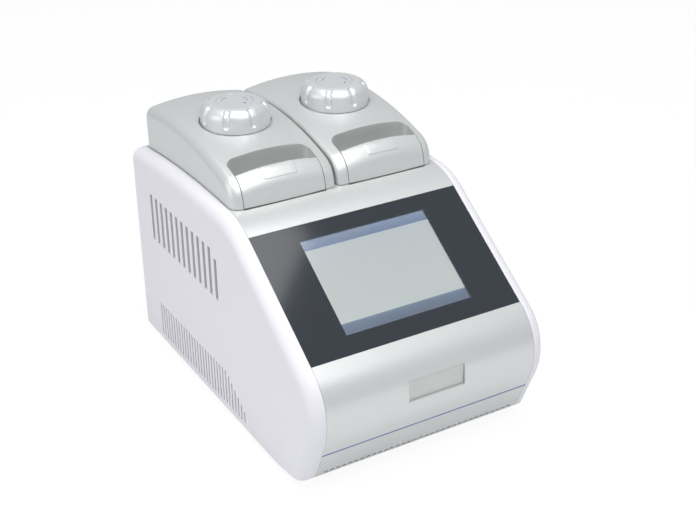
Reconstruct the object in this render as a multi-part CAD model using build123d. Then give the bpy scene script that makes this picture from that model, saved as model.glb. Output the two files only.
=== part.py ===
from build123d import *
import math
import os

# Bench thermal cycler with two sample blocks, each under its own heated lid.
# Millimetres. +X is the right-hand side seen from the front, +Y the back, +Z up.
# The origin lies on the bench, under the middle of the machine.

# Housing outline, seen from the side
body_width = 304.0
rear_y = 231.0
nose_y = -230.6  # foremost line of the front panel
foot_height = 8.0
keel_start_y = -154.0  # where the floor line would meet the rising keel
keel_angle = 10.0
keel_radius = 290.0
rake_y, rake_z = -205.6, 27.0  # a point on the raked lower front
rake_angle = 23.0  # from the vertical
rake_radius = 76.0
nose_radius = 62.0
lip_radius = 16.0
lip_seam_y = -196.0  # where the front panel ends under the nose
screen_y, screen_z = -130.0, 205.4  # middle of the display on the sloping front
screen_slope = 34.2
brow_radius = 85.0  # from the screen's slope into the deck
crown_y, crown_z = 107.0, 272.3  # where the two deck lines would meet
deck_rise = 3.0
deck_fall = 6.4
crown_radius = 1400.0
rear_radius = 4.0
wall = 3.0  # moulded housing walls
gap = 0.3  # between pieces that are fastened to each other
seam_x = 135.5  # inner face of each side panel
edge_round = 14.5  # outer edge of each side panel
tall_floor_z = -40.0  # a level below the machine, for shapes that are cut to length

# Vents in the side panels
upper_slots = 13
upper_slot_back_y = 179.0
upper_slot_pitch = 15.4
upper_slot_width = 7.0
upper_slot_z = (152.0, 214.0)
upper_slot_short_top = 204.7  # the foremost slot stops under the rounded edge
lower_slots = 31
lower_slot_back_y = 176.0
lower_slot_pitch = 8.0
lower_slot_width = 2.8
lower_slot_z = (15.5, 61.6)
lower_slot_slant_y = -18.0  # forward of here the slot tops come down with the front

# Front panel details
stripe_z = (56.1, 58.3)
stripe_depth = 1.4
foot_vents = 33
foot_vent_pitch = 7.7
foot_vent_width = 5.0
foot_vent_z = (23.6, 25.4)
badge_x = (-33.0, 40.0)
badge_z = (97.0, 122.5)
badge_floor_y = -226.5
badge_backing = 3.0
plate_thickness = 1.0

# Screen
glass_low, glass_high = -83.7, 80.9  # up the slope from the display's middle
glass_thickness = 3.0
glass_sink = 0.2
display_width, display_height = 162.2, 121.65
module_width, module_height, module_depth = 183.0, 141.0, 6.5
carrier_thickness = 3.0
carrier_margin = 5.0
window_margin = 2.0

# Lids
lid_inner_x, lid_outer_x = 1.5, 134.0
lid_front_y = -24.2
lid_back_y = 228.0
lid_rim_gap = 0.8  # between a lid's rim and the deck
lid_front_z = 265.5
lid_front_angle = 79.0
lid_rise = 17.0
lid_rise_y, lid_rise_z = 17.0, 309.5
lid_fall = 7.0
lid_fall_y, lid_fall_z = 218.0, 318.5
lid_brow_radius = 30.0
lid_top_radius = 470.0
lid_crown_centre_z = 13.0  # the lids arch from side to side about this level
lid_outer_round = 12.0
lid_inner_round = 5.0
lid_rear_round = 16.0
lid_wall = 3.0
lid_sweep = 38.0  # degrees of arch, more than the lid's width needs
lid_low_z = 240.0  # below the rims, where the lids are first cut off
liner_lift = 1.8  # the inner cover's height above the deck
liner_thickness = 2.5
liner_skirt_z = (269.5, 282.0)
guide_gap = 0.4

# Lid hinges
hinge_round = 10.0  # the lid's lower back edge runs round the hinge axis
hinge_pin_radius = 3.0
hinge_pin_length = 104.0
running = 0.05  # radial clearance of a turning fit
seated = 0.02  # radial clearance of a fixed pin
ear_x = (-38.0, 38.0)  # from the lid's middle
ear_width = 6.0
ear_radius = 6.5
bracket_drop = 1.2
bracket_length = 30.0
arm_width = 8.0
arm_length = 38.0
arm_half_height = 4.0

# Latch handles
flap_half_width = 51.75
flap_gap = 0.8
flap_top_y = -3.0
flap_wall = 3.2
flap_room_y = -2.0  # the front of the lid is open this far back for the handle
pocket_back_y = 25.0
pocket_floor_z = 277.0
pocket_round = 12.0
tub_wall = 2.6
latch_y, latch_z = -14.0, 272.0  # axis of the handle
latch_pin_radius = 2.0
latch_ear_radius = 4.6
latch_ear_width = 6.0
latch_ear_x = (15.0, 42.0)  # from the lid's middle
spring_radius = 3.2
spring_wire = 0.5
spring_x = 20.0
slot_y = (-13.2, -3.0)  # in the deck, for the hook
slot_half_width = 13.0
hook_half_width = 12.0
hook_nose_y = -15.3
hook_z = (255.5, 261.9)
hook_thickness = 3.0
hook_clearance = 0.55
flap_end_wall = 2.4
groove_depth = 2.2

# Knobs, screws and heated plates
block_y = 100.0  # middle of each block, knob and heated plate
knob_radius = 41.6
knob_top_z = 346.0
knob_seat_z = 317.5
knob_seat_radius = 43.6
knob_lift = 0.6
knob_shoulder = 14.5  # round from the wall into the top
knob_wall = 4.2
cap_radius = 21.9
cap_height = 1.2
cap_sink = 1.4
flute_count = 8
flute_radius = 5.2
flute_depth = 2.7
flute_low_z = 328.4  # where a flute's lower end starts to round off
flute_bend = 58.0  # degrees a flute runs round the shoulder
flute_turn = 40.0  # the first flute, in degrees round from the front towards the left
screw_radius = 8.0
screw_end_z = 284.0
screw_collar_radius = 12.0
screw_collar_height = 2.7
screw_boss_z = 309.0
screw_boss_radius = 13.0
hub_depth = 12.0
hub_wall = 5.0
plate_size = (92.0, 74.0)
plate_bottom_z = 266.0
plate_thickness_z = 4.0
plate_round = 6.0
carrier_size = (97.0, 79.0)
carrier_plate = 5.0
carrier_boss_radius = 14.0
carrier_boss_z = 296.0

# Sample blocks and what lies under them
well_columns, well_rows = 8, 6
well_pitch = 9.0
well_radius = 2.95
well_tip = 0.9
well_depth = 14.0
block_size = (78.0, 60.0)
block_top_z = 258.0
block_foot = 5.0
block_foot_size = (86.0, 68.0)
block_height = 20.0
block_round = 3.0
gasket_size = (104.0, 86.0)
gasket_z = (253.0, 256.0, 263.0)  # underside, floor and rim
gasket_round = 9.0
gasket_lip = 2.5
bay_size = (102.0, 84.0)
bay_round = 8.0
peltier_size = 38.0
peltier_gap = 2.0
peltier_thickness = 4.0
sink_size = (110.0, 104.0)
sink_base = 12.0
sink_fins = 17
fin_thickness = 1.6
fan_size = 92.0
fan_depth = 25.0
fan_bore = 43.5
fan_hub_radius = 19.0
fan_blades = 7
fan_shaft = 3.0
fan_shaft_height = 12.0
bench_top_z = 123.0
bench_half_x = 127.0
bench_y = (40.0, 160.0)
sheet = 2.0
post_height = 6.0
post_radius = 4.0
board_size = (150.0, 90.0)
board_thickness = 1.6
board_parts = ((-40, 20, 18, 4), (-8, -14, 26, 7), (34, 18, 14, 9), (44, -24, 20, 12))
supply_size = (120.0, 95.0, 40.0)
supply_y = -95.0

# Back of the machine
fit = 0.2  # round the inlet and the switch
inlet_x, inlet_z = 90.0, 45.0
inlet_flange = (24.2, 11.7)  # half width and half height
inlet_body = (13.7, 10.0)
inlet_hole = (12.0, 8.3)
inlet_depth = 24.0
inlet_floor = 4.0
inlet_pins = ((-7.0, -1.5), (0.0, 2.5), (7.0, -1.5))
pin_half = (1.0, 2.0)
pin_sink = 6.0
switch_x = 45.0
switch_flange = (11.2, 15.7)
switch_body = (9.5, 13.5)
switch_hole = (7.9, 12.1)
switch_depth = 18.0
switch_floor = 4.5
flange_depth = 1.6
flange_thickness = 1.5
usb_x = (-100.0, -78.0)
usb_z = 40.0
usb_half = (6.6, 3.1)
usb_depth = 14.0
usb_sheet = 0.4
rear_slots = 9
rear_slot_z = 130.0
rear_slot_pitch = 9.0
rear_slot_half_width = 40.0
rear_slot_half_height = 2.0
rocker_y = 224.5
rocker_pin = 1.3
rocker_half_x, rocker_half_z = 7.6, 11.2
trunnion = 1.3
rocker_tilt = 7.0
screw_head_radius = 3.4
screw_head_height = 1.4
rear_screws = [(x, z) for x in (-125.0, 125.0) for z in (30.0, 228.0)]
foot_radius = 14.0
foot_places = [(x, y) for x in (-110.0, 110.0) for y in (-92.0, 195.0)]

half_width = body_width / 2
lid_middle = (lid_inner_x + lid_outer_x) / 2
sides = {"left": -1, "right": 1}


def block(x, y, z):
    """Box between two planes on each axis, each pair low first."""
    centre = Pos((x[0] + x[1]) / 2, (y[0] + y[1]) / 2, (z[0] + z[1]) / 2)
    return centre * Box(x[1] - x[0], y[1] - y[0], z[1] - z[0])


def around(middle, half):
    return (middle - half, middle + half)


def slab(face, x_low, x_high):
    """Solid of a side-view face (y, z) between two planes across X."""
    return extrude(Plane.YZ.offset(x_low) * face, x_high - x_low)


def rod(x, y, z_low, z_high, radius):
    return Pos(x, y, z_low) * extrude(Circle(radius), z_high - z_low)


def rod_across(y, z, x_low, x_high, radius):
    return slab(Pos(y, z) * Circle(radius), x_low, x_high)


def rod_along(x, z, y_low, y_high, radius):
    return Plane.XZ.offset(-y_high) * Pos(x, z) * extrude(Circle(radius), y_high - y_low)


def plan_plate(x, y, z_low, z_high, size, corner):
    """Plate with rounded corners in plan, about (x, y)."""
    return Pos(x, y, z_low) * extrude(RectangleRounded(*size, corner), z_high - z_low)


def corners(walk, inset=0.0):
    """Corners and radii of an outline walked clockwise, every side moved inwards by inset.

    Each side is a point (y, z), a direction in degrees and the radius of the corner at its end.
    """
    moved = []
    for (y, z), angle, radius in walk:
        turn = math.radians(angle)
        along = (math.cos(turn), math.sin(turn))
        moved.append(((y + inset * along[1], z - inset * along[0]), along, radius))
    points, radii = [], []
    for i, (start, along, radius) in enumerate(moved):
        other, across, _ = moved[(i + 1) % len(moved)]
        span = (other[0] - start[0], other[1] - start[1])
        reach = (span[0] * across[1] - span[1] * across[0]) / (along[0] * across[1] - along[1] * across[0])
        points.append((start[0] + reach * along[0], start[1] + reach * along[1]))
        radii.append(max(radius - inset, 0.0) if radius else 0.0)
    return points, radii


def outline(walk, inset=0.0):
    points, radii = corners(walk, inset)
    return make_face(FilletPolyline(*points, radius=radii, close=True))


def housing_walk():
    return [
        ((rear_y, foot_height), 180, keel_radius),
        ((keel_start_y, foot_height), 180 - keel_angle, lip_radius),
        ((rake_y, rake_z), 90 + rake_angle, rake_radius),
        ((nose_y, rake_z), 90, nose_radius),
        ((screen_y, screen_z), screen_slope, brow_radius),
        ((crown_y, crown_z), deck_rise, crown_radius),
        ((crown_y, crown_z), -deck_fall, rear_radius),
        ((rear_y, foot_height), -90, rear_radius),
    ]


def tall_walk():
    """The housing outline with its front carried straight down and sharp corners at the back."""
    walk = housing_walk()
    walk[0:2] = [((rear_y, tall_floor_z), 180, 0.0)]
    walk[-2] = (*walk[-2][:2], 0.0)
    walk[-1] = (*walk[-1][:2], 0.0)
    return walk


def housing(inset=0.0):
    return outline(housing_walk(), inset)


def hoop(outer, inner, half):
    """Ring of housing wall between two insets, between the side panels."""
    return slab(housing(outer), -half, half) - slab(housing(inner), -half - 1, half + 1)


def deck_height(y):
    """Height of the deck's top face at y, behind its crown's front tangent."""
    turn = math.radians(deck_rise)
    tangent = crown_radius * math.tan(math.radians(deck_rise + deck_fall) / 2)
    start = crown_y - tangent * math.cos(turn)
    if y <= start:
        return crown_z - (crown_y - y) * math.tan(turn)
    centre_y = start + crown_radius * math.sin(turn)
    centre_z = crown_z - tangent * math.sin(turn) - crown_radius * math.cos(turn)
    return centre_z + math.sqrt(crown_radius**2 - (y - centre_y) ** 2)


def hinge_axis():
    """The lid's hinge line (y, z): a hinge round away from the lid's back face and from its rim."""
    y = lid_back_y - hinge_round
    fall = math.radians(deck_fall)
    rise = (hinge_round + lid_rim_gap) / math.cos(fall)
    return y, crown_z - (y - crown_y) * math.tan(fall) + rise


screen_plane = Plane(
    origin=(0, screen_y, screen_z),
    x_dir=(1, 0, 0),
    z_dir=(0, -math.sin(math.radians(screen_slope)), math.cos(math.radians(screen_slope))),
)


def on_slope(x, up, out):
    """Box in the screen's plane: x across, up along the slope and out of it, each pair low first."""
    return screen_plane * block(x, up, out)


# Housing


def panel_form(inset):
    """Outer form of the right side panel, moved in by inset."""
    form = slab(outline(tall_walk(), inset), seam_x, half_width - inset)
    face = form.faces().sort_by(Axis.X)[-1]
    back = rear_y - inset
    rim = [e for e in face.edges() if e.center().Y < back - 1 and e.center().Z > tall_floor_z + inset + 1]
    form = fillet(rim, edge_round - inset)
    return form & slab(housing(inset), seam_x - 1, half_width + 1)


def side_vents():
    """Cutters for the two groups of slots in the right side panel."""
    x = (half_width - wall - 1, half_width + 1)
    cutters = []
    for i in range(upper_slots):
        y = upper_slot_back_y - i * upper_slot_pitch
        top = upper_slot_short_top if i == upper_slots - 1 else upper_slot_z[1]
        cutters.append(block(x, around(y, upper_slot_width / 2), (upper_slot_z[0], top)))
    for i in range(lower_slots):
        y = lower_slot_back_y - i * lower_slot_pitch
        slant = (y - lower_slot_slant_y) * math.tan(math.radians(screen_slope))
        top = min(lower_slot_z[1], lower_slot_z[1] + slant)
        cutters.append(block(x, around(y, lower_slot_width / 2), (lower_slot_z[0], top)))
    return cutters


def side_panel():
    hollow = Pos(-1, 0, 0) * panel_form(wall) + panel_form(wall)
    return panel_form(0) - hollow - side_vents()


def front_panel():
    half = seam_x - gap
    top = on_slope((-half - 1, half + 1), (-400, glass_low - gap), (-400, 200))
    lip_y = lip_seam_y
    panel = (hoop(0, wall, half) & top) - block((-half - 1, half + 1), (lip_y, 300), (0, 60))
    backing_y = badge_floor_y + badge_backing
    backing = block(
        (badge_x[0] - wall, badge_x[1] + wall), (nose_y, backing_y), (badge_z[0] - wall, badge_z[1] + wall)
    )
    panel += backing & slab(housing(wall / 2), -half, half)
    panel -= block(badge_x, (nose_y - 5, badge_floor_y), badge_z)
    panel -= hoop(-1, stripe_depth, half + 1) & block((-half - 1, half + 1), (nose_y - 5, -200), stripe_z)
    first = -foot_vent_pitch * (foot_vents - 1) / 2
    for i in range(foot_vents):
        x = first + i * foot_vent_pitch
        panel -= block(around(x, foot_vent_width / 2), (nose_y, -195), foot_vent_z)
    return panel


def front_stripe():
    half = seam_x - gap
    band = block((-half, half), (nose_y - 5, -200), (stripe_z[0] + 0.1, stripe_z[1] - 0.1))
    return hoop(0.1, stripe_depth, half) & band


def name_plate():
    edge = 0.4
    return block(
        (badge_x[0] + edge, badge_x[1] - edge),
        (badge_floor_y - plate_thickness, badge_floor_y),
        (badge_z[0] + edge, badge_z[1] - edge),
    )


def base_chassis():
    """Base tray: the floor and rising keel, with a flange up each side."""
    half = seam_x - gap
    lip_y = lip_seam_y + gap
    tray = hoop(0, wall, half) & block((-half, half), (lip_y, rear_y - wall - gap), (0, 60))
    for side in (-1, 1):
        x = sorted((side * half, side * (half - sheet)))
        tray += slab(housing(wall), *x) & block(x, (keel_start_y, rear_y - 8), (0, foot_height + 18))
    for x, y, size in board_posts() + supply_posts():
        tray += rod(x, y, foot_height + wall - 0.5, foot_height + wall + post_height, size)
    return tray


def board_posts():
    x, y = board_size[0] / 2 - 6, board_size[1] / 2 - 6
    return [(sx * x, block_y + sy * y, post_radius) for sx in (-1, 1) for sy in (-1, 1)]


def supply_posts():
    x, y = supply_size[0] / 2 - 8, supply_size[1] / 2 - 8
    return [(sx * x, supply_y + sy * y, post_radius) for sx in (-1, 1) for sy in (-1, 1)]


def top_cover():
    half = seam_x - gap
    above = on_slope((-half - 1, half + 1), (glass_high + gap, 600), (-600, 200))
    cover = hoop(0, wall, half) & above
    cover &= block((-half, half), (-200, rear_y - wall - gap), (180, 400))
    for side in (-1, 1):
        x = side * lid_middle
        cover -= plan_plate(x, block_y, 200, 300, bay_size, bay_round)
        cover -= block(around(x, slot_half_width), slot_y, (200, 300))
        for ear in ear_x:
            across = around(x + ear, ear_width / 2 + gap)
            cover -= block(across, around(hinge_axis()[0], ear_radius + gap), (200, 300))
        groove_y = (lid_front_y - 0.6, latch_y + 1)
        groove = block(around(x, flap_half_width + flap_gap), groove_y, (200, 300))
        cover -= groove - slab(housing(groove_depth), -half, half)
    return cover


def rear_panel():
    half = seam_x - gap
    plate = slab(housing(0), -half, half) & block((-half, half), (rear_y - wall, rear_y + 1), (0, 400))
    through = (rear_y - wall - 1, rear_y + 1)
    recess = (rear_y - flange_depth, rear_y + 1)
    for x, flange, body in ((inlet_x, inlet_flange, inlet_body), (switch_x, switch_flange, switch_body)):
        plate -= block(around(x, flange[0] + fit), recess, around(inlet_z, flange[1] + fit))
        plate -= block(around(x, body[0] + fit), through, around(inlet_z, body[1] + fit))
    for x in usb_x:
        plate -= block(around(x, usb_half[0] + gap), through, around(usb_z, usb_half[1] + gap))
    for x, z in rear_screws:
        plate -= rod_along(x, z, rear_y - screw_head_height - 0.1, rear_y + 1, screw_head_radius + 0.2)
    for side in (-1, 1):
        x = around(side * lid_middle, rear_slot_half_width)
        for i in range(rear_slots):
            z = rear_slot_z + i * rear_slot_pitch
            plate -= block(x, through, around(z, rear_slot_half_height))
    return plate


def foot(x, y):
    body = rod(x, y, 0, foot_height, foot_radius)
    return chamfer(body.faces().sort_by(Axis.Z)[0].edges(), 1.5)


def feet():
    return [foot(x, y) for x, y in foot_places]


def housing_screws():
    """Pan-head screws that hold the rear panel, sunk flush in its corners."""
    face = rear_y - 0.1
    return [rod_along(x, z, face - screw_head_height, face, screw_head_radius) for x, z in rear_screws]


# Screen


def screen_glass():
    half = seam_x - gap
    return on_slope((-half, half), (glass_low, glass_high), (-glass_sink - glass_thickness, -glass_sink))


def display_carrier():
    half = seam_x - 3
    top = -glass_sink - glass_thickness - 0.1
    x = (-half, half)
    up = (glass_low - carrier_margin, glass_high + carrier_margin)
    frame = on_slope(x, up, (top - carrier_thickness, top))
    window_x = display_width / 2 + window_margin
    window_up = display_height / 2 + window_margin
    return frame - on_slope((-window_x, window_x), (-window_up, window_up), (top - 9, top + 9))


def lcd_module():
    top = -glass_sink - glass_thickness - 0.3
    back = top - carrier_thickness - 0.3
    low = back - module_depth
    cell_x = around(0, display_width / 2 + 1)
    cell_up = around(0, display_height / 2 + 1)
    cell = on_slope(cell_x, cell_up, (low, top))
    return cell + on_slope(around(0, module_width / 2), around(0, module_height / 2), (low, back))


# Lids


def lid_walk(low_z):
    """Side outline of a lid at its middle, with its front and back carried down to low_z."""
    return [
        ((0, low_z), 180, 0.0),
        ((lid_front_y, lid_front_z), lid_front_angle, lid_brow_radius),
        ((lid_rise_y, lid_rise_z), lid_rise, lid_top_radius),
        ((lid_fall_y, lid_fall_z), -lid_fall, 0.0),
        ((lid_back_y, low_z), -90, 0.0),
    ]


def lid_form(inset=0.0):
    """Form of the right lid moved in by inset: its side outline swept in an arch about a low axis."""
    low_z = lid_low_z - 40 - 2 * inset
    profile = Plane.YZ.offset(lid_middle) * outline(lid_walk(low_z), inset)
    axis = Axis((lid_middle, 0, lid_crown_centre_z), (0, 1, 0))
    form = revolve(profile, axis, lid_sweep).rotate(axis, -lid_sweep / 2)
    low, high = lid_inner_x + inset, lid_outer_x - inset
    form &= block((low, high), (-100, lid_back_y), (lid_low_z - inset, 400))
    back_face = form.faces().filter_by(Axis.Y).sort_by(Axis.Y)[-1]
    form = fillet(back_face.edges().sort_by(Axis.Z)[-1], lid_rear_round - inset)
    for end, radius in ((-1, lid_outer_round), (0, lid_inner_round)):
        side_face = form.faces().filter_by(Axis.X).sort_by(Axis.X)[end]
        rim = [e for e in side_face.edges() if e.center().Z > lid_low_z + 1]
        form = fillet(rim, radius - inset)
    return form


def under_hinge(radius):
    """What lies outside the round about the hinge line, behind and below it."""
    y, z = hinge_axis()
    corner = block((0, half_width), (y, y + 40), (z - 60, z))
    return corner - rod_across(y, z, -1, half_width + 1, radius)


def lid_shell():
    y, z = hinge_axis()
    outer = lid_form()
    shell = outer - (lid_form(lid_wall) - under_hinge(hinge_round - lid_wall))
    opening = flap_half_width + flap_gap
    tub_back = pocket_back_y + tub_wall
    x_tub = around(lid_middle, opening + tub_wall)
    tub = block(x_tub, (-60, tub_back), (pocket_floor_z - tub_wall, 400))
    tub += block(x_tub, (-60, flap_room_y + tub_wall), (lid_low_z, 400))
    shell += tub & outer
    pocket_size = (2 * opening, pocket_back_y + 60)
    shell -= plan_plate(lid_middle, (pocket_back_y - 60) / 2, pocket_floor_z, 400, pocket_size, pocket_round)
    shell -= block(around(lid_middle, opening), (-60, flap_room_y), (200, 400))
    seat = rod(lid_middle, block_y, knob_seat_z - lid_wall, 400, knob_seat_radius + lid_wall)
    shell += seat & outer
    shell += rod(lid_middle, block_y, screw_boss_z, knob_seat_z, screw_boss_radius)
    shell -= rod(lid_middle, block_y, knob_seat_z, 400, knob_seat_radius)
    shell -= rod(lid_middle, block_y, 300, 400, screw_radius + running)
    shell -= slab(housing(-lid_rim_gap), 0, half_width)
    shell -= under_hinge(hinge_round)
    for ear in ear_x:
        x = around(lid_middle + ear, ear_width / 2 + 1)
        shell -= block(x, (y - 13, y + 30), (200, z + ear_radius))
    shell -= rod_across(latch_y, latch_z, x_tub[0] - 1, x_tub[1] + 1, latch_pin_radius + seated)
    return shell


def lid_liner():
    """Inner cover over the lid's open underside, arched like the deck, with a guide for the heated plate."""
    y, _ = hinge_axis()
    inside = lid_wall + gap
    x = (lid_inner_x + inside, lid_outer_x - inside)
    liner = slab(housing(-liner_lift - liner_thickness), *x) - slab(housing(-liner_lift), 0, half_width)
    liner &= block(x, (flap_room_y + tub_wall + gap, y - 14), (240, 400))
    guide = (carrier_size[0] + 2 * guide_gap, carrier_size[1] + 2 * guide_gap)
    skirt = (guide[0] + 2 * sheet, guide[1] + 2 * sheet)
    liner += plan_plate(lid_middle, block_y, liner_skirt_z[0], liner_skirt_z[1], skirt, plate_round + sheet)
    liner -= plan_plate(lid_middle, block_y, 240, 400, guide, plate_round)
    return liner


def hinge_bracket():
    """Plate under the deck with two ears that rise through it to the hinge pin."""
    y, z = hinge_axis()
    under = deck_height(y - ear_radius) - wall - gap - bracket_drop
    x = (lid_middle + ear_x[0] - ear_width, lid_middle + ear_x[1] + ear_width)
    bracket = block(x, (y - bracket_length, y + ear_radius), (under - sheet, under))
    for ear in ear_x:
        across = around(lid_middle + ear, ear_width / 2)
        bracket += block(across, around(y, ear_radius), (under - sheet, z))
        bracket += rod_across(y, z, *across, ear_radius)
    return bracket - rod_across(y, z, 0, half_width, hinge_pin_radius + seated)


def hinge_pin():
    y, z = hinge_axis()
    return rod_across(y, z, *around(lid_middle, hinge_pin_length / 2), hinge_pin_radius)


def hinge_arms():
    """Two straps on the liner that end in knuckles on the hinge pin."""
    y, z = hinge_axis()
    arms = []
    for ear in ear_x:
        offset = (ear_width + arm_width) / 2 + 0.6
        middle = lid_middle + ear + math.copysign(offset, ear)
        across = around(middle, arm_width / 2)
        strap = block(across, (y - arm_length, y), (z - 12, z + arm_half_height))
        strap -= slab(housing(-liner_lift - liner_thickness - 0.1), 0, half_width)
        strap -= rod_across(y, z, 0, half_width, ear_radius - 1)
        knuckle = rod_across(y, z, *across, ear_radius)
        arms.append(strap + knuckle - rod_across(y, z, 0, half_width, hinge_pin_radius + running))
    return arms


def latch_handle():
    """Latch handle: the flap in the lid's front, its ears on the latch pin, and the hook below."""
    flap = block(around(lid_middle, flap_half_width), (-60, flap_top_y), (lid_low_z, 400))
    inner = lid_form(flap_wall / 2)
    handle = (lid_form() - lid_form(flap_wall)) & flap
    for side in (-1, 1):
        x = sorted(lid_middle + side * (flap_half_width - inwards) for inwards in (0, flap_end_wall))
        handle += inner & block(x, (lid_front_y, flap_top_y), (latch_z - 3, 400))
        for ear in latch_ear_x:
            across = around(lid_middle + side * ear, latch_ear_width / 2)
            handle += inner & block(across, (lid_front_y, latch_y), (latch_z - 2, latch_z + 14))
            handle += rod_across(latch_y, latch_z, *across, latch_ear_radius)
    hook_x = around(lid_middle, hook_half_width)
    hook_front = latch_y + latch_pin_radius + hook_clearance
    hook_y = (hook_front, hook_front + hook_thickness)
    handle += block(hook_x, hook_y, (hook_z[0], latch_z + 12))
    handle += block(hook_x, (hook_nose_y, hook_y[1]), hook_z)
    handle += inner & block(hook_x, (lid_front_y, hook_y[1]), (latch_z + 8, latch_z + 12))
    below = slab(housing(-lid_rim_gap), 0, half_width)
    handle -= below & block((0, half_width), (-60, latch_y - latch_ear_radius), (200, 300))
    return handle - rod_across(latch_y, latch_z, 0, half_width, latch_pin_radius + running)


def latch_pin():
    half = flap_half_width + flap_gap + tub_wall
    return rod_across(latch_y, latch_z, *around(lid_middle, half), latch_pin_radius)


def latch_spring():
    """Torsion spring coiled round the latch pin between two ears."""
    turns = Helix(pitch=1.5, height=9.0, radius=spring_radius, direction=(1, 0, 0))
    start = Plane(origin=turns @ 0, z_dir=turns % 0)
    coil = sweep(start * Circle(spring_wire), path=turns)
    return Pos(lid_middle + spring_x, latch_y, latch_z) * coil


def pressure_screw():
    x, y = lid_middle, block_y
    screw = rod(x, y, screw_end_z, knob_seat_z + knob_lift + hub_depth, screw_radius)
    collar_top = screw_boss_z - gap
    return screw + rod(x, y, collar_top - screw_collar_height, collar_top, screw_collar_radius)


def hot_plate():
    high = plate_bottom_z + plate_thickness_z
    return plan_plate(lid_middle, block_y, plate_bottom_z, high, plate_size, plate_round)


def plate_carrier():
    """Carrier of the heated plate, with the boss that the pressure screw drives."""
    low = plate_bottom_z + plate_thickness_z
    carrier = plan_plate(lid_middle, block_y, low, low + carrier_plate, carrier_size, plate_round)
    carrier += rod(lid_middle, block_y, low, carrier_boss_z, carrier_boss_radius)
    rib_height = carrier_boss_z - low - carrier_plate - 8
    reach = (carrier_size[0] / 2 - 3, carrier_size[1] / 2 - 3)
    for half in ((reach[0], 1.5), (1.5, reach[1])):
        rib = (low, low + carrier_plate + rib_height)
        carrier += block(around(lid_middle, half[0]), around(block_y, half[1]), rib)
    return carrier - rod(lid_middle, block_y, low + carrier_plate, 400, screw_radius + running)


def flute():
    """Cutter for one flute: a round-ended groove that runs up the knob's wall and over its shoulder."""
    reach = knob_radius + flute_radius - flute_depth
    bend_z = knob_top_z - knob_shoulder
    cutter = rod(reach, 0, flute_low_z, bend_z, flute_radius)
    cutter += Pos(reach, 0, flute_low_z) * Sphere(flute_radius)
    shoulder = Axis((knob_radius - knob_shoulder, 0, bend_z), (0, -1, 0))
    cutter += revolve(Pos(reach, 0, bend_z) * Circle(flute_radius), shoulder, flute_bend)
    tip = Pos(reach, 0, bend_z) * Sphere(flute_radius)
    return cutter + tip.rotate(shoulder, flute_bend)


def knob():
    """Domed knob with eight flutes that stop above its rim, hollow underneath."""
    low = knob_seat_z + knob_lift
    body = rod(0, 0, low, knob_top_z, knob_radius)
    body = fillet(body.edges().group_by(Axis.Z)[-1], knob_shoulder)
    body -= rod(0, 0, knob_top_z - cap_sink, knob_top_z + 1, cap_radius + gap)
    hollow = rod(0, 0, low - 1, low + hub_depth - 2, knob_radius - knob_wall)
    body -= hollow - rod(0, 0, low - 1, knob_top_z, screw_radius + hub_wall)
    body -= rod(0, 0, low - 1, low + hub_depth, screw_radius)
    cutter = flute()
    for i in range(flute_count):
        body -= cutter.rotate(Axis.Z, -90 - flute_turn + 360 * i / flute_count)
    return body


def knob_cap():
    low = knob_top_z - cap_sink
    return rod(0, 0, low, low + cap_height, cap_radius)


# Sample blocks and the stack below them


def sample_block():
    low = block_top_z - block_height
    body = plan_plate(0, 0, low, low + block_foot, block_foot_size, block_round)
    body += plan_plate(0, 0, low, block_top_z, block_size, block_round)
    wells = []
    for i in range(well_columns):
        for j in range(well_rows):
            x = (i - (well_columns - 1) / 2) * well_pitch
            y = (j - (well_rows - 1) / 2) * well_pitch
            cone = Cone(well_tip, well_radius, well_depth, align=(Align.CENTER, Align.CENTER, Align.MAX))
            wells.append(Pos(x, y, block_top_z) * cone)
    return body - wells


def block_gasket():
    low, step, high = gasket_z
    gasket = plan_plate(0, 0, low, high, gasket_size, gasket_round)
    cup = (gasket_size[0] - 2 * gasket_lip, gasket_size[1] - 2 * gasket_lip)
    gasket -= plan_plate(0, 0, step, high + 1, cup, gasket_round - gasket_lip)
    inside = (block_size[0] + 2 * gap, block_size[1] + 2 * gap)
    return gasket - plan_plate(0, 0, low - 1, high + 1, inside, block_round)


def peltier_modules():
    high = block_top_z - block_height
    x = (peltier_size + peltier_gap) / 2
    tile = block(around(0, peltier_size / 2), around(0, peltier_size / 2), (high - peltier_thickness, high))
    return [Pos(-x, 0, 0) * tile, Pos(x, 0, 0) * tile]


def fan_low():
    return bench_top_z + gap


def heat_sink():
    high = block_top_z - block_height - peltier_thickness
    half_x, half_y = sink_size[0] / 2, sink_size[1] / 2
    sink = block((-half_x, half_x), (-half_y, half_y), (high - sink_base, high))
    pitch = (sink_size[0] - fin_thickness) / (sink_fins - 1)
    fin_z = (fan_low() + fan_depth + gap, high - sink_base)
    for i in range(sink_fins):
        x = -half_x + i * pitch
        sink += block((x, x + fin_thickness), (-half_y, half_y), fin_z)
    return sink


def fan_frame():
    low = fan_low()
    frame = plan_plate(0, 0, low, low + fan_depth, (fan_size, fan_size), 4)
    frame -= rod(0, 0, low - 1, low + fan_depth + 1, fan_bore)
    frame += rod(0, 0, low, low + sheet, fan_hub_radius)
    strut = block((0, fan_bore + 1), (-2, 2), (low, low + sheet))
    for turn in (45, 135, 225, 315):
        frame += Rot(0, 0, turn) * strut
    return frame + rod(0, 0, low + sheet, low + fan_shaft_height, fan_shaft)


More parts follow.
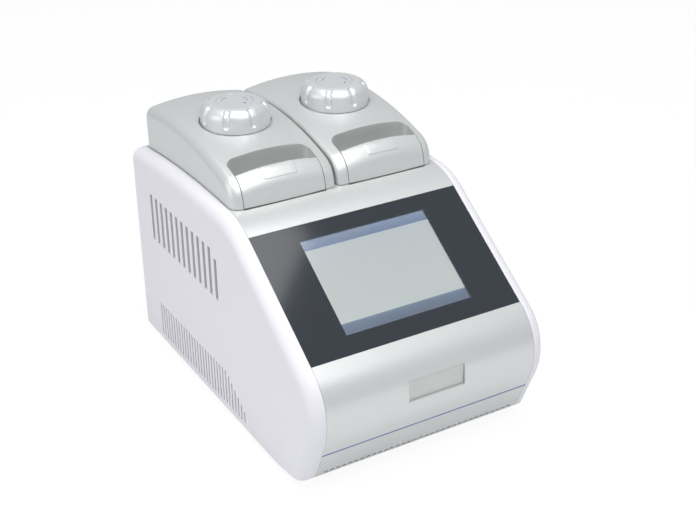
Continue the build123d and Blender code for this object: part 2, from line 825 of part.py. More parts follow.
def fan_rotor():
    low = fan_low() + sheet + 0.4
    high = fan_low() + fan_depth - 1
    rotor = rod(0, 0, low, high, fan_hub_radius)
    blade = Pos((fan_hub_radius + fan_bore) / 2 - 1.5, 0, (low + high) / 2) * (
        Rot(38, 0, 0) * Box(fan_bore - fan_hub_radius, 1.6, 22)
    )
    swept = rod(0, 0, low, high, fan_bore - 1) - rod(0, 0, low - 1, high + 1, fan_hub_radius - 1)
    for i in range(fan_blades):
        rotor += Rot(0, 0, 360 * i / fan_blades) * (blade & swept)
    return rotor - rod(0, 0, low - 1, fan_low() + fan_shaft_height + 0.4, fan_shaft + running)


def inner_bench():
    y = bench_y
    bench = block((-bench_half_x, bench_half_x), y, (bench_top_z - sheet, bench_top_z))
    for side in (-1, 1):
        x = sorted((side * bench_half_x, side * (bench_half_x - sheet)))
        bench += block(x, y, (foot_height + wall + gap, bench_top_z))
        bench -= rod(side * lid_middle, block_y, 0, 300, fan_bore - 1)
    return bench


def main_board():
    low = foot_height + wall + post_height
    face = low + board_thickness
    board = block(around(0, board_size[0] / 2), around(block_y, board_size[1] / 2), (low, face))
    for x, y, size, height in board_parts:
        board += block(around(x, size / 2), around(block_y + y, size / 2), (face, face + height))
    return board


def power_supply():
    x, y, z = supply_size
    low = foot_height + wall + post_height
    case = block(around(0, x / 2), around(supply_y, y / 2), (low, low + z))
    for i in range(9):
        case -= block(around(-40 + 10 * i, 2), around(supply_y, y / 2 - 12), (low + z - 1.2, low + z + 1))
    return case


# Back of the machine


def power_inlet():
    """Three-pin mains inlet: flange, shroud and pins."""
    face = rear_y - flange_depth + flange_thickness
    flange_y, body_y = (face - flange_thickness, face), (face - inlet_depth, face)
    body = block(around(inlet_x, inlet_flange[0]), flange_y, around(inlet_z, inlet_flange[1]))
    body += block(around(inlet_x, inlet_body[0]), body_y, around(inlet_z, inlet_body[1]))
    floor_y = face - inlet_depth + inlet_floor
    body -= block(around(inlet_x, inlet_hole[0]), (floor_y, face + 1), around(inlet_z, inlet_hole[1]))
    for x, z in inlet_pins:
        pin_y = (floor_y - 0.5, face - pin_sink)
        body += block(around(inlet_x + x, pin_half[0]), pin_y, around(inlet_z + z, pin_half[1]))
    return body


def switch_frame():
    face = rear_y - flange_depth + flange_thickness
    flange_y, body_y = (face - flange_thickness, face), (face - switch_depth, face)
    frame = block(around(switch_x, switch_flange[0]), flange_y, around(inlet_z, switch_flange[1]))
    frame += block(around(switch_x, switch_body[0]), body_y, around(inlet_z, switch_body[1]))
    floor_y = face - switch_depth + switch_floor
    frame -= block(around(switch_x, switch_hole[0]), (floor_y, face + 1), around(inlet_z, switch_hole[1]))
    reach = rocker_half_x + trunnion + gap
    return frame - rod_across(rocker_y, inlet_z, switch_x - reach, switch_x + reach, rocker_pin + running)


def power_rocker():
    """Rocker on two short trunnions, at rest with its lower half pressed in."""
    crest, waist, back = 4.5, 3.4, -5.0
    points = [
        (back, 3 - rocker_half_z), (crest, -rocker_half_z), (waist, 0),
        (crest, rocker_half_z), (back, rocker_half_z - 3),
    ]
    rocker = slab(make_face(Polyline(*points, close=True)), -rocker_half_x, rocker_half_x)
    reach = rocker_half_x + trunnion
    rocker += rod_across(0, 0, -reach, reach, rocker_pin)
    return Pos(switch_x, rocker_y, inlet_z) * (Rot(-rocker_tilt, 0, 0) * rocker)


def usb_sockets():
    sockets = []
    half_x, half_z = usb_half
    face = rear_y - 0.1
    for x in usb_x:
        shell = block(around(x, half_x), (face - usb_depth, face), around(usb_z, half_z))
        inside_z = around(usb_z, half_z - usb_sheet)
        shell -= block(around(x, half_x - usb_sheet), (face - usb_depth + 2, face + 1), inside_z)
        tongue = block(around(x, half_x - 1), (face - usb_depth + 1, face - 3), (usb_z + 0.3, usb_z + 2.2))
        sockets.append(shell + tongue)
    return sockets


def save(name, shapes):
    solids = [solid for shape in shapes for solid in shape.solids()]
    export_step(solids[0] if len(solids) == 1 else Compound(solids), f"parts/{name}.step")


def as_list(shape):
    return shape if isinstance(shape, list) else [shape]


def main():
    single = [
        base_chassis, front_panel, front_stripe, name_plate, top_cover, rear_panel, feet, housing_screws,
        screen_glass, display_carrier, lcd_module, inner_bench, main_board, power_supply, power_inlet,
        switch_frame, power_rocker, usb_sockets,
    ]
    for piece in single:
        save(piece.__name__, as_list(piece()))
    mirrored = [
        side_panel, lid_shell, lid_liner, hinge_bracket, hinge_pin, hinge_arms, latch_handle, latch_pin,
        latch_spring, pressure_screw, hot_plate, plate_carrier,
    ]
    for piece in mirrored:
        shapes = as_list(piece())
        save(f"right_{piece.__name__}", shapes)
        save(f"left_{piece.__name__}", [mirror(shape, about=Plane.YZ) for shape in shapes])
    placed = [knob, knob_cap, sample_block, block_gasket, peltier_modules, heat_sink, fan_frame, fan_rotor]
    for piece in placed:
        shapes = as_list(piece())
        for name, side in sides.items():
            at = Pos(side * lid_middle, block_y, 0)
            save(f"{name}_{piece.__name__}", [at * shape for shape in shapes])


os.makedirs("parts", exist_ok=True)
main()
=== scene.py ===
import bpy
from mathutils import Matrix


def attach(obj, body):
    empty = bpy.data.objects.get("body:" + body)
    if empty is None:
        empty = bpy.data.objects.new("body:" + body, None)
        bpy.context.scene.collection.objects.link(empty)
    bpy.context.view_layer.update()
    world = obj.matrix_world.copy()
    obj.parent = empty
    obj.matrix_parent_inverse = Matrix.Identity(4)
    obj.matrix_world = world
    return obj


bl_info = {
    "name": "Thermal cycler",
    "version": (1, 0, 0),
    "blender": (4, 5, 0),
    "location": "3D View > Sidebar > Thermal cycler",
    "description": "Dresses the packed thermal cycler with its finishes and small surface pieces",
    "category": "Object",
}

import math

import bpy
import numpy as np
from bpy.props import FloatProperty, FloatVectorProperty, PointerProperty

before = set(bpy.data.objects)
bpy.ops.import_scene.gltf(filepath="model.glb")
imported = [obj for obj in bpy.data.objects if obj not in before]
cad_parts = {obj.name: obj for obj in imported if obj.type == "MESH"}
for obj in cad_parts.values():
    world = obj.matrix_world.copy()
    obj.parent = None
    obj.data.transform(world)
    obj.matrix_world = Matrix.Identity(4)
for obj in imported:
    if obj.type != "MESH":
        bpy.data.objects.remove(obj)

MM = 0.001
SIDES = {"left": -1, "right": 1}
LID_MIDDLE = 67.75  # mm from the machine's middle to the middle of each lid, as in the CAD
BLOCK_Y = 100.0  # mm, the middle of each block and knob
CAP_TOP_Z = 345.8  # mm, top of the disc in each knob
DOT_TURN = math.radians(-62.0)  # where the closed mark stands on the disc
TOUCH_GAP = 0.03  # mm, between printed ink and what it is printed on
RIM_POINTS = 96  # round a pad
DOT_POINTS = 32  # round a printed dot
ARC_POINTS = 24  # along a printed arc
FLOOR_HALF = 6.0  # metres


def linear(code):
    """sRGB hex to linear RGBA."""
    values = [int(code[i : i + 2], 16) / 255 for i in (0, 2, 4)]
    return tuple(c / 12.92 if c <= 0.04045 else ((c + 0.055) / 1.055) ** 2.4 for c in values) + (1.0,)


def colour(name, code, description):
    return FloatVectorProperty(
        name=name, description=description, default=linear(code), size=4, subtype="COLOR", min=0.0, max=1.0
    )


def length(name, millimetres, description):
    return FloatProperty(
        name=name, description=description, default=millimetres * MM, unit="LENGTH", precision=5
    )


# Sizes and colours that a user would change


class CYCLER_FinishSettings(bpy.types.PropertyGroup):
    side_colour: colour("Side panels", "DFDEE3", "Pearl white of the moulded side panels")
    silver_colour: colour("Silver paint", "D2D4D3", "Lacquer of the lids, the front and the top cover")
    knob_colour: colour("Knobs", "D6D8D9", "Silver lacquer of the knobs")
    stripe_colour: colour("Stripe", "3C62A4", "Film stripe across the front")
    ink_colour: colour("Glass print", "2B3036", "Ink printed on the back of the screen glass")
    steel_colour: colour("Powder coat", "CFCFD0", "Powder coat of the base and the rear panel")
    grain: length("Mould grain", 0.35, "Size of the spark-eroded grain in the moulded panels")
    flake: length("Flake size", 0.5, "Size of the flakes in the silver paint, drawn coarse enough to show")


class CYCLER_PadSettings(bpy.types.PropertyGroup):
    width: length("Width", 42.5, "Width of the raised pad on each latch handle")
    reach: length("Height", 16.6, "How far the pad runs down the handle")
    top: length("Top", 3.0, "How far below the end of the lid's brow the pad starts")
    offset: length("Offset", -0.8, "How far the pad's middle lies to the right of the lid's middle")
    corner: length("Corner radius", 3.5, "Radius of the pad's corners")
    proud: length("Step", 0.9, "How far the pad stands out of the handle")


class CYCLER_MarkSettings(bpy.types.PropertyGroup):
    blue: colour("Blue ink", "6D86B8", "Pad-printed ink of the turning marks")
    dark: colour("Dark ink", "3C4148", "Pad-printed ink of the closed mark")
    radius: length("Arc radius", 15.0, "Radius of the turning marks on each knob's disc")
    line: length("Line width", 1.1, "Width of the printed lines")


class CYCLER_StageSettings(bpy.types.PropertyGroup):
    camera_place: FloatVectorProperty(
        name="Camera place", description="Where the photograph was taken from", size=3, subtype="XYZ",
        unit="LENGTH", default=(-0.6602, -1.1789, 0.8557),
    )
    camera_turn: FloatVectorProperty(
        name="Camera turn", description="Tilt, roll and heading of the camera", size=3, subtype="EULER",
        unit="ROTATION", default=[math.radians(a) for a in (62.7074, 0.5162, -30.4820)],
    )
    lens: FloatProperty(name="Lens", description="Focal length", default=65.09, unit="CAMERA")
    floor_shade: FloatProperty(
        name="Floor shade", description="How much of the shadow on the floor shows", default=0.1, min=0.0,
        max=1.0, subtype="FACTOR",
    )


# Nodes and materials


def add(tree, kind, inputs=None, **settings):
    """One shader node with its properties set and its sockets fed, by values or by other nodes' sockets."""
    made = tree.nodes.new(kind)
    for name, value in settings.items():
        setattr(made, name, value)
    for name, value in (inputs or {}).items():
        socket = made.inputs[name]
        if isinstance(value, bpy.types.NodeSocket):
            tree.links.new(value, socket)
        else:
            socket.default_value = value
    return made


def new_material(name):
    material = bpy.data.materials.new(name)
    material.use_nodes = True
    material.node_tree.nodes.clear()
    return material, material.node_tree


def surface(tree, shader):
    add(tree, "ShaderNodeOutputMaterial", {"Surface": shader.outputs[0]})


def place(tree):
    return add(tree, "ShaderNodeTexCoord").outputs["Object"]


def speckle(tree, size, detail=2.0):
    """Noise whose blotches are about size metres across."""
    return add(tree, "ShaderNodeTexNoise", {"Vector": place(tree), "Scale": 0.6 / size, "Detail": detail})


def between(tree, factor, low, high):
    """Colour mixed from low to high by a factor."""
    made = add(tree, "ShaderNodeMix", {"Factor": factor}, data_type="RGBA")
    made.inputs["A"].default_value = low
    made.inputs["B"].default_value = high
    return made.outputs["Result"]


def scaled(tree, value, low, high):
    """Value from 0 to 1 moved to low to high."""
    inputs = {"Value": value, "To Min": low, "To Max": high}
    return add(tree, "ShaderNodeMapRange", inputs).outputs["Result"]


def relief(tree, height, strength, distance, **inputs):
    """Surface direction with a fine relief of the given height pattern."""
    inputs = {"Height": height, "Strength": strength, "Distance": distance, **inputs}
    return add(tree, "ShaderNodeBump", inputs).outputs["Normal"]


def seen_directly(tree):
    """1 where the camera looks straight or through glass at a surface, 0 for what only lights or mirrors."""
    path = add(tree, "ShaderNodeLightPath").outputs
    either = {0: path["Is Camera Ray"], 1: path["Is Transmission Ray"]}
    return add(tree, "ShaderNodeMath", either, operation="MAXIMUM").outputs[0]


def shade(rgba, factor):
    return tuple(c * factor for c in rgba[:3]) + (1.0,)


def plain_finish(
    name, rgba, roughness, metallic=0.0, grain=0.5 * MM, bump=0.02 * MM, spread=0.04, **sockets
):
    """Finish with fine mottling in its colour, roughness and surface, all at the grain's size."""
    material, tree = new_material(name)
    noise = speckle(tree, grain).outputs["Fac"]
    inputs = {
        "Base Color": between(tree, noise, shade(rgba, 1 - spread), shade(rgba, 1 + spread)),
        "Roughness": scaled(tree, noise, roughness - 0.04, roughness + 0.04),
        "Metallic": metallic,
        "Normal": relief(tree, noise, 1.0, bump),
    }
    inputs.update({socket.replace("_", " "): value for socket, value in sockets.items()})
    surface(tree, add(tree, "ShaderNodeBsdfPrincipled", inputs))
    return material


def moulded_abs(rgba, grain):
    # ABS moulded in a spark-eroded tool: a soft sheen broken up by a fine even grain.
    return plain_finish(
        "moulded_abs_pearl_white", rgba, 0.46, grain=grain, bump=0.012 * MM, spread=0.01, IOR=1.53
    )


def silver_lacquer(name, rgba, flake):
    # Silver lacquer sprayed on ABS: small flat-lying flakes give a pearly sheen under a satin coat.
    material, tree = new_material(name)
    cells = add(tree, "ShaderNodeTexVoronoi", {"Vector": place(tree), "Scale": 1 / flake})
    lightness = add(tree, "ShaderNodeSeparateColor", {"Color": cells.outputs["Color"]}).outputs["Red"]
    # Moulded edges are never sharp: a small round catches the light along every rim.
    edge = add(tree, "ShaderNodeBevel", {"Radius": 0.7 * MM}, samples=4).outputs["Normal"]
    inputs = {
        "Base Color": between(tree, lightness, shade(rgba, 0.97), shade(rgba, 1.03)),
        "Metallic": 0.45,
        "Roughness": 0.36,
        "IOR": 1.5,
        "Coat Weight": 0.15,
        "Coat Roughness": 0.22,
        "Normal": relief(tree, lightness, 0.25, 0.01 * MM, Normal=edge),
    }
    surface(tree, add(tree, "ShaderNodeBsdfPrincipled", inputs))
    return material


def brushed_metal(name, rgba, roughness, stretch):
    # Drawn or brushed stock: long fine scratches along one axis that pull the highlights out sideways.
    material, tree = new_material(name)
    mapped = add(tree, "ShaderNodeMapping", {"Vector": place(tree), "Scale": stretch}).outputs["Vector"]
    scratches = {"Vector": mapped, "Scale": 0.8 / (0.5 * MM), "Detail": 3.0}
    noise = add(tree, "ShaderNodeTexNoise", scratches).outputs["Fac"]
    inputs = {
        "Base Color": between(tree, noise, shade(rgba, 0.92), shade(rgba, 1.05)),
        "Metallic": 1.0,
        "Roughness": scaled(tree, noise, roughness - 0.06, roughness + 0.06),
        "Normal": relief(tree, noise, 0.5, 0.01 * MM),
    }
    surface(tree, add(tree, "ShaderNodeBsdfPrincipled", inputs))
    return material


SCREEN = {"y": -130.0, "z": 205.4, "slope": 34.2, "width": 162.2, "height": 121.65}


def on_screen(tree):
    """Object coordinates turned into the screen's plane, in metres from the middle of the display."""
    centred = add(
        tree, "ShaderNodeVectorMath", {0: place(tree), 1: (0.0, SCREEN["y"] * MM, SCREEN["z"] * MM)},
        operation="SUBTRACT",
    ).outputs["Vector"]
    turned = add(
        tree, "ShaderNodeVectorRotate", {"Vector": centred, "Angle": -math.radians(SCREEN["slope"])},
        rotation_type="X_AXIS",
    ).outputs["Vector"]
    return add(tree, "ShaderNodeSeparateXYZ", {"Vector": turned}).outputs


def inside_box(tree, x, y, half_x, half_y, edge):
    """1 inside a rectangle about the origin, 0 outside, with a thin soft edge."""
    factors = []
    for value, half in ((x, half_x), (y, half_y)):
        away = add(tree, "ShaderNodeMath", {0: value}, operation="ABSOLUTE").outputs[0]
        factors.append(
            add(
                tree, "ShaderNodeMapRange",
                {"Value": away, "From Min": half, "From Max": half + edge, "To Min": 1.0, "To Max": 0.0},
            ).outputs["Result"]
        )
    return add(tree, "ShaderNodeMath", {0: factors[0], 1: factors[1]}, operation="MULTIPLY").outputs[0]


def printed_glass(ink):
    # Cover glass printed dark on its back round a clear window: an even, deep gloss over the ink.
    material, tree = new_material("back_printed_cover_glass")
    x, y, _ = on_screen(tree)
    window = inside_box(tree, x, y, SCREEN["width"] / 2 * MM, SCREEN["height"] / 2 * MM, 0.2 * MM)
    inputs = {
        "Base Color": between(tree, window, ink, (1.0, 1.0, 1.0, 1.0)),
        "Roughness": 0.09,
        "IOR": 1.52,
        "Transmission Weight": window,
    }
    surface(tree, add(tree, "ShaderNodeBsdfPrincipled", inputs))
    return material


def lit_display():
    # Liquid crystal display with a plain page on it: a pale even field between two shaded bars.
    material, tree = new_material("liquid_crystal_display")
    x, y, _ = on_screen(tree)
    height = SCREEN["height"] * MM
    up = add(
        tree, "ShaderNodeMapRange", {"Value": y, "From Min": -height / 2, "From Max": height / 2}
    ).outputs["Result"]
    ramp = add(tree, "ShaderNodeValToRGB", {"Fac": up})
    stops = [
        (0.0, "475C7C"), (0.06, "4F6584"), (0.115, "5C7B98"),
        (0.12, "C6D0D0"), (0.5, "C4CECE"), (0.895, "C0CAD0"),
        (0.9, "6079A0"), (0.95, "6D86A8"), (1.0, "8096B4"),
    ]
    elements = ramp.color_ramp.elements
    while len(elements) < len(stops):
        elements.new(0.5)
    for element, (position, code) in zip(elements, stops):
        element.position = position
        element.color = linear(code)
    inputs = {
        "Base Color": (0.02, 0.02, 0.02, 1.0),
        "Roughness": 0.3,
        "Emission Color": ramp.outputs["Color"],
        "Emission Strength": 0.8,
    }
    surface(tree, add(tree, "ShaderNodeBsdfPrincipled", inputs))
    return material


def paint(material, *nodes):
    """Puts one material on every slot of these CAD nodes or pieces."""
    for item in nodes:
        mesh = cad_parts[item].data if isinstance(item, str) else item.data
        mesh.materials.clear()
        mesh.materials.append(material)


def both(*names):
    return [f"{side}_{name}" for side in SIDES for name in names]


# Meshes


def mesh_piece(name, points, faces, body, material):
    """Piece from rows of points in millimetres and rows of three or four point numbers."""
    mesh = bpy.data.meshes.new(name)
    mesh.from_pydata((np.asarray(points, float) * MM).tolist(), [], [list(f) for f in faces])
    mesh.validate()
    mesh.polygons.foreach_set("use_smooth", np.ones(len(mesh.polygons), bool))
    mesh.update()
    made = bpy.data.objects.new(name, mesh)
    bpy.context.scene.collection.objects.link(made)
    paint(material, made)
    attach(made, body)
    return made


def ring_faces(rings, around):
    """Quads between closed rings of points that follow each other."""
    i, j = np.meshgrid(np.arange(rings - 1), np.arange(around), indexing="ij")
    a = i * around + j
    b = i * around + (j + 1) % around
    return np.stack([a, b, b + around, a + around], -1).reshape(-1, 4)


def fan_faces(around, centre):
    """Triangles that close the first ring with one middle point."""
    j = np.arange(around)
    return np.stack([j, (j + 1) % around, np.full(around, centre)], -1)


def rounded_rectangle(half_x, half_y, corner, around):
    """Points (around, 2) on a rectangle with round corners, anticlockwise: a quarter circle about the middle
    of each corner, with a quarter of the points each."""
    turn = np.linspace(0, 2 * np.pi, around, endpoint=False)
    quarter = np.floor(turn / (np.pi / 2))
    sign_x = np.where((quarter == 0) | (quarter == 3), 1, -1)
    sign_y = np.where(quarter < 2, 1, -1)
    x = sign_x * (half_x - corner) + corner * np.cos(turn)
    y = sign_y * (half_y - corner) + corner * np.sin(turn)
    return np.stack([x, y], -1)


class LidProfile:
    """Side line of a lid at its middle: a raked front and a round brow into a rising top, as in the CAD."""

    front = (-24.2, 265.5, 79.0)  # a point (y, z) in millimetres and a direction in degrees
    rise = (17.0, 309.5, 17.0)
    brow_radius = 30.0
    arch_centre = 13.0

    def __init__(self):
        front, self.front_turn = np.array(self.front[:2]), math.radians(self.front[2])
        rise, self.rise_turn = np.array(self.rise[:2]), math.radians(self.rise[2])
        up = np.array([math.cos(self.front_turn), math.sin(self.front_turn)])
        back = np.array([math.cos(self.rise_turn), math.sin(self.rise_turn)])
        span = rise - front
        corner = front + up * (span[0] * back[1] - span[1] * back[0]) / (up[0] * back[1] - up[1] * back[0])
        start = corner - up * self.brow_radius * math.tan((self.front_turn - self.rise_turn) / 2)
        self.brow_centre = start + self.brow_radius * np.array([up[1], -up[0]])

    def at(self, s):
        """Points (y, z) and outward normals at distance s along the line, from 0 at the end of the brow,
        forwards and down: a straight run back, the brow's arc, then the raked front."""
        s = np.asarray(s, float)
        a, b = self.front_turn, self.rise_turn
        arc_length = self.brow_radius * (a - b)
        on_arc = np.clip(s, 0, arc_length) / self.brow_radius
        turn = b + np.pi / 2 + on_arc
        normal = np.stack([np.cos(turn), np.sin(turn)], -1)
        points = self.brow_centre + self.brow_radius * normal
        past = s - np.clip(s, 0, arc_length)
        along = np.where(s[..., None] < 0, [math.cos(b), math.sin(b)], [math.cos(a), math.sin(a)])
        return points - along * past[..., None], normal

    def surface(self, x, s, height):
        """Points raised by height from a lid, swept in an arch about a low level line: x is the distance
        from the lid's middle, measured round the arch."""
        points, normal = self.at(s)
        points = points + normal * height[..., None]
        radius = points[..., 1] - self.arch_centre
        turn = x / radius
        across = radius * np.sin(turn)
        up = self.arch_centre + radius * np.cos(turn)
        return np.stack([across, points[..., 0], up], -1)


def raised_pad(lid, width, reach, corner, proud, middle_x, middle_s):
    """Points and faces of a pad on a lid, in millimetres. Rings of a rounded rectangle run from its middle
    out to its rim at full height, bend down over a narrow edge and end inside the lid, each ring laid on
    the lid's surface and raised along its normal."""
    outline = rounded_rectangle(width / 2, reach / 2, corner, RIM_POINTS)
    spread = np.array([0.02, 0.35, 0.65, 0.85, 0.94, 0.985, 1.0, 1.008, 1.01])
    height = np.array([1.0, 1.0, 1.0, 1.0, 1.0, 0.95, 0.75, 0.0, -1.0]) * proud
    flat = outline[None] * spread[:, None, None]
    rise = np.repeat(height[:, None], RIM_POINTS, 1)
    points = lid.surface(middle_x + flat[..., 0], middle_s - flat[..., 1], rise)
    points = np.concatenate([points.reshape(-1, 3), points[0].mean(0)[None]])
    faces = ring_faces(len(spread), RIM_POINTS)[:, ::-1].tolist()
    faces += fan_faces(RIM_POINTS, len(points) - 1).tolist()
    return points, faces


# Operators


class CYCLER_OT_finishes(bpy.types.Operator):
    """Gives every CAD node the finish of the real piece"""

    bl_idname = "cycler.finishes"
    bl_label = "Finish the CAD pieces"

    def execute(self, context):
        look = context.scene.cycler_finish
        white = moulded_abs(look.side_colour, look.grain)
        silver = silver_lacquer("silver_lacquer_on_abs", look.silver_colour, look.flake)
        knob = silver_lacquer("silver_lacquer_knob", look.knob_colour, look.flake)
        # Epoxy powder coat on folded sheet steel: a faint orange peel about a millimetre across.
        coat = plain_finish(
            "powder_coated_steel", look.steel_colour, 0.5, grain=1.0 * MM, bump=0.03 * MM, spread=0.02
        )
        # Glass-filled nylon, moulded black: dull, with a trace of fibre near the surface.
        nylon = plain_finish(
            "glass_filled_nylon_black", linear("1B1C1E"), 0.55, grain=0.6 * MM, spread=0.15
        )
        # Polycarbonate moulded in a polished tool: even gloss.
        gloss = plain_finish(
            "polished_polycarbonate_black", linear("121315"), 0.16, grain=3 * MM, bump=0.002 * MM, IOR=1.58
        )
        # Nitrile rubber: matte, with a bloom that lightens it in patches.
        rubber = plain_finish("nitrile_rubber_feet", linear("202022"), 0.78, grain=1.5 * MM, spread=0.2)
        # Silicone rubber: soft grey with a waxy sheen.
        silicone = plain_finish("silicone_rubber_seal", linear("B9BABC"), 0.5, grain=1.2 * MM, spread=0.03)
        # Screen-printed polyester film: flat colour, satin.
        film = plain_finish(
            "polyester_film_stripe", look.stripe_colour, 0.35, grain=0.8 * MM, bump=0.004 * MM
        )
        # Alumina ceramic plates: chalky white.
        ceramic = plain_finish("alumina_ceramic", linear("ECEAE4"), 0.7, grain=0.4 * MM, spread=0.02)
        # Epoxy solder mask on glass laminate: green gloss over a faint weave.
        board = plain_finish("solder_mask_green", linear("145A37"), 0.3, grain=1.0 * MM, spread=0.1)
        # Anodised aluminium sheet, finely etched: a dull, even metal grey.
        label = plain_finish(
            "anodised_aluminium_plate", linear("C4C5C3"), 0.42, metallic=0.45,
            grain=0.25 * MM, bump=0.006 * MM, spread=0.03,
        )
        # Machined block under a silvery plating: bright, with hardly any tool marks left.
        silver_block = plain_finish(
            "plated_sample_block", linear("E3E3E4"), 0.28, metallic=1.0,
            grain=0.6 * MM, bump=0.004 * MM, spread=0.03,
        )
        # Zinc plating on steel: cool grey with a faint patchy bloom.
        zinc = plain_finish(
            "zinc_plated_steel", linear("B9BBBE"), 0.34, metallic=1.0, grain=2 * MM, spread=0.05
        )
        # Nickel plating on stamped brass: warm and fairly bright.
        nickel = plain_finish(
            "nickel_plated_brass", linear("CFCBC2"), 0.22, metallic=1.0, grain=1 * MM, spread=0.03
        )
        machined = brushed_metal("machined_aluminium", linear("C8C9CB"), 0.36, (1.0, 0.08, 1.0))
        extruded = brushed_metal("extruded_aluminium_fins", linear("BEC0C3"), 0.42, (1.0, 0.05, 1.0))
        paint(white, *both("side_panel"))
        paint(silver, "front_panel", "top_cover", *both("lid_shell", "latch_handle"))
        paint(knob, *both("knob", "knob_cap"))
        paint(coat, "base_chassis", "rear_panel")
        paint(nylon, "display_carrier", "switch_frame", "power_inlet")
        paint(nylon, *both("lid_liner", "fan_frame", "fan_rotor"))
        paint(gloss, "power_rocker")
        paint(rubber, "feet")
        paint(silicone, *both("block_gasket"))
        paint(film, "front_stripe")
        paint(ceramic, *both("peltier_modules"))
        paint(board, "main_board")
        paint(label, "name_plate")
        paint(silver_block, *both("sample_block"))
        paint(zinc, "housing_screws", "power_supply", *both("hinge_bracket", "hinge_pin", "hinge_arms"))
        paint(zinc, *both("latch_pin", "latch_spring", "pressure_screw"))
        paint(nickel, "usb_sockets")
        paint(machined, "inner_bench", *both("hot_plate", "plate_carrier"))
        paint(extruded, *both("heat_sink"))
        paint(printed_glass(look.ink_colour), "screen_glass")
        paint(lit_display(), "lcd_module")
        return {"FINISHED"}


class CYCLER_OT_latch_pads(bpy.types.Operator):
    """Raised bare pad on the face of each latch handle"""

    bl_idname = "cycler.latch_pads"
    bl_label = "Latch handle pads"

    def execute(self, context):
        pad = context.scene.cycler_pad
        sizes = [value / MM for value in (pad.width, pad.reach, pad.corner, pad.proud)]
        middle_s = (pad.top + pad.reach / 2) / MM
        flat_points, faces = raised_pad(LidProfile(), *sizes, pad.offset / MM, middle_s)
        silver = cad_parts["top_cover"].data.materials[0]
        for name, side in SIDES.items():
            points = flat_points + [side * LID_MIDDLE, 0.0, 0.0]
            mesh_piece(f"{name}_latch_pad", points, faces, f"{name}_latch", silver)
        return {"FINISHED"}


def arc_ribbon(radius, width, start, end, steps):
    """Points and faces of a flat band along an arc about the origin, ended by an arrow head: lengths in
    millimetres, angles in degrees. The band's edges are circles half its width inside and outside the arc,
    and the head is a triangle across its end."""
    head_half, head_length = 1.6 * width, 2.4 * width
    turn = np.radians(np.linspace(start, end, steps))
    spokes = np.stack([np.cos(turn), np.sin(turn)], -1)
    tip = turn[-1] + math.copysign(head_length / radius, end - start)
    arrow = [
        (radius - head_half) * spokes[-1],
        (radius + head_half) * spokes[-1],
        radius * np.array([math.cos(tip), math.sin(tip)]),
    ]
    points = np.concatenate([(radius - width / 2) * spokes, (radius + width / 2) * spokes, arrow])
    rows = np.arange(steps - 1)
    band = np.stack([rows, rows + steps, rows + steps + 1, rows + 1], -1).tolist()
    faces = band + [[2 * steps, 2 * steps + 1, 2 * steps + 2]]
    if end < start:
        faces = [face[::-1] for face in faces]
    return points, faces


class CYCLER_OT_knob_marks(bpy.types.Operator):
    """Turning marks printed on the disc of each knob"""

    bl_idname = "cycler.knob_marks"
    bl_label = "Knob marks"

    def execute(self, context):
        marks = context.scene.cycler_marks
        # Two-part ink pad-printed on the lacquered disc: thin, slightly glossier than the lacquer.
        blue = plain_finish("pad_printed_ink_blue", marks.blue, 0.4, grain=0.4 * MM, bump=0.002 * MM)
        dark = plain_finish("pad_printed_ink_dark", marks.dark, 0.4, grain=0.4 * MM, bump=0.002 * MM)
        radius, line = marks.radius / MM, marks.line / MM
        turn = np.linspace(0, 2 * np.pi, DOT_POINTS, endpoint=False)
        dot = 1.3 * line * np.stack([np.cos(turn), np.sin(turn)], -1)
        dot = np.concatenate([dot, [[0.0, 0.0]]])
        dot += [radius * math.cos(DOT_TURN), radius * math.sin(DOT_TURN)]
        pieces = {
            "loosen_mark": (*arc_ribbon(radius, line, -30, 15, ARC_POINTS), blue),
            "tighten_mark": (*arc_ribbon(radius, line, 160, 115, ARC_POINTS), blue),
            "closed_mark": (dot, fan_faces(DOT_POINTS, DOT_POINTS).tolist(), dark),
        }
        for name, side in SIDES.items():
            for piece, (flat, faces, ink) in pieces.items():
                level = np.full((len(flat), 1), CAP_TOP_Z + TOUCH_GAP)
                points = np.concatenate([flat + [side * LID_MIDDLE, BLOCK_Y], level], 1)
                mesh_piece(f"{name}_{piece}", points, faces, f"{name}_knob", ink)
        return {"FINISHED"}


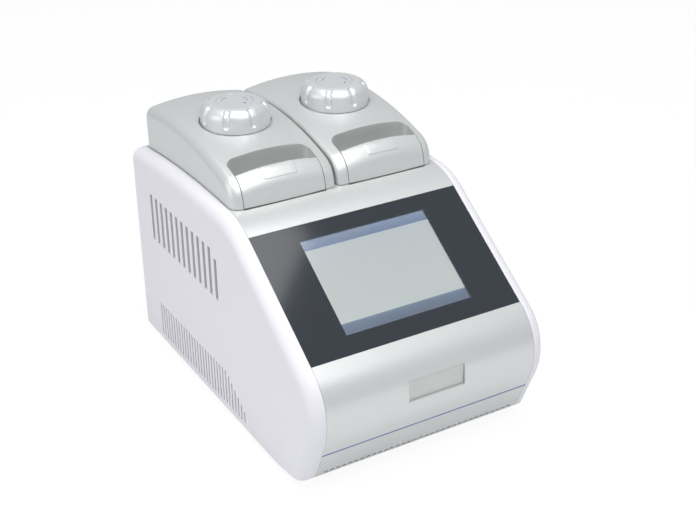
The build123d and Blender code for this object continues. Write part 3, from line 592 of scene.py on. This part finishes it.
class CYCLER_OT_stage(bpy.types.Operator):
    """Pale floor, soft lamps and the camera at the photograph's angle"""

    bl_idname = "cycler.stage"
    bl_label = "Stage"

    def execute(self, context):
        stage = context.scene.cycler_stage
        self.floor(stage)
        self.world(context.scene)
        self.lamps()
        self.camera(context.scene, stage)
        context.scene.view_settings.view_transform = "Standard"
        return {"FINISHED"}

    def floor(self, stage):
        mesh = bpy.data.meshes.new("floor")
        half = FLOOR_HALF
        corners = [(-half, -half, 0), (half, -half, 0), (half, half, 0), (-half, half, 0)]
        mesh.from_pydata(corners, [], [(0, 1, 2, 3)])
        floor = bpy.data.objects.new("floor", mesh)
        bpy.context.scene.collection.objects.link(floor)
        material, tree = new_material("white_paper_sweep")
        # Matte white paper, partly covered by its own even white so that only a faint shadow is left to see.
        paper = add(tree, "ShaderNodeBsdfDiffuse", {"Color": (0.85, 0.85, 0.86, 1.0)})
        white = add(tree, "ShaderNodeEmission", {"Color": (1.0, 1.0, 1.0, 1.0), "Strength": 1.03})
        share = {0: seen_directly(tree), 1: 1 - stage.floor_shade}
        share = add(tree, "ShaderNodeMath", share, operation="MULTIPLY").outputs[0]
        mixed = add(tree, "ShaderNodeMixShader", {0: share, 1: paper.outputs[0], 2: white.outputs[0]})
        surface(tree, mixed)
        paint(material, floor)

    def world(self, scene):
        world = bpy.data.worlds.new("studio")
        world.use_nodes = True
        tree = world.node_tree
        tree.nodes.clear()
        seen = seen_directly(tree)
        dim = add(tree, "ShaderNodeBackground", {"Color": (0.95, 0.97, 1.0, 1.0), "Strength": 0.48})
        white = add(tree, "ShaderNodeBackground", {"Color": (1.0, 1.0, 1.0, 1.0), "Strength": 1.0})
        mixed = add(tree, "ShaderNodeMixShader", {0: seen, 1: dim.outputs[0], 2: white.outputs[0]})
        add(tree, "ShaderNodeOutputWorld", {"Surface": mixed.outputs[0]})
        scene.world = world

    def lamps(self):
        # Large soft boxes: overhead, from the left and from above the front.
        # Each entry: place, aim, size, power.
        boxes = {
            "overhead_box": ((-0.3, -0.3, 1.9), (0.0, 0.0, 0.25), 1.6, 24.0),
            "left_box": ((-1.9, 0.1, 0.9), (0.0, 0.0, 0.2), 1.2, 6.0),
            "front_box": ((0.1, -1.3, 1.8), (0.0, -0.1, 0.2), 0.9, 11.0),
        }
        for name, (where, aim, size, power) in boxes.items():
            light = bpy.data.lights.new(name, "AREA")
            light.shape, light.size, light.energy = "SQUARE", size, power
            lamp = bpy.data.objects.new(name, light)
            bpy.context.scene.collection.objects.link(lamp)
            lamp.location = where
            away = lamp.location - type(lamp.location)(aim)
            lamp.rotation_euler = away.to_track_quat("Z", "Y").to_euler()

    def camera(self, scene, stage):
        data = bpy.data.cameras.new("camera")
        data.sensor_width, data.lens = 36.0, stage.lens
        data.clip_start, data.clip_end = 0.05, 50.0
        camera = bpy.data.objects.new("camera", data)
        scene.collection.objects.link(camera)
        camera.location = stage.camera_place
        camera.rotation_euler = stage.camera_turn
        scene.camera = camera


class CYCLER_PT_panel(bpy.types.Panel):
    bl_idname = "CYCLER_PT_panel"
    bl_label = "Thermal cycler"
    bl_space_type = "VIEW_3D"
    bl_region_type = "UI"
    bl_category = "Thermal cycler"

    def draw(self, context):
        scene = context.scene
        for group in (getattr(scene, name) for name in SETTINGS):
            box = self.layout.box()
            for name in group.bl_rna.properties.keys():
                if name not in ("rna_type", "name"):
                    box.prop(group, name)
        for operator in OPERATORS:
            self.layout.operator(operator.bl_idname)


OPERATORS = (CYCLER_OT_finishes, CYCLER_OT_latch_pads, CYCLER_OT_knob_marks, CYCLER_OT_stage)
SETTINGS = {
    "cycler_finish": CYCLER_FinishSettings,
    "cycler_pad": CYCLER_PadSettings,
    "cycler_marks": CYCLER_MarkSettings,
    "cycler_stage": CYCLER_StageSettings,
}


def register():
    for item in (*SETTINGS.values(), *OPERATORS, CYCLER_PT_panel):
        bpy.utils.register_class(item)
    for name, group in SETTINGS.items():
        setattr(bpy.types.Scene, name, PointerProperty(type=group))


def unregister():
    for name in SETTINGS:
        delattr(bpy.types.Scene, name)
    for item in reversed((*SETTINGS.values(), *OPERATORS, CYCLER_PT_panel)):
        bpy.utils.unregister_class(item)


def main():
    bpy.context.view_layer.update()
    register()
    bpy.ops.cycler.finishes()
    bpy.ops.cycler.latch_pads()
    bpy.ops.cycler.knob_marks()
    bpy.ops.cycler.stage()


if __name__ == "__main__":
    main()
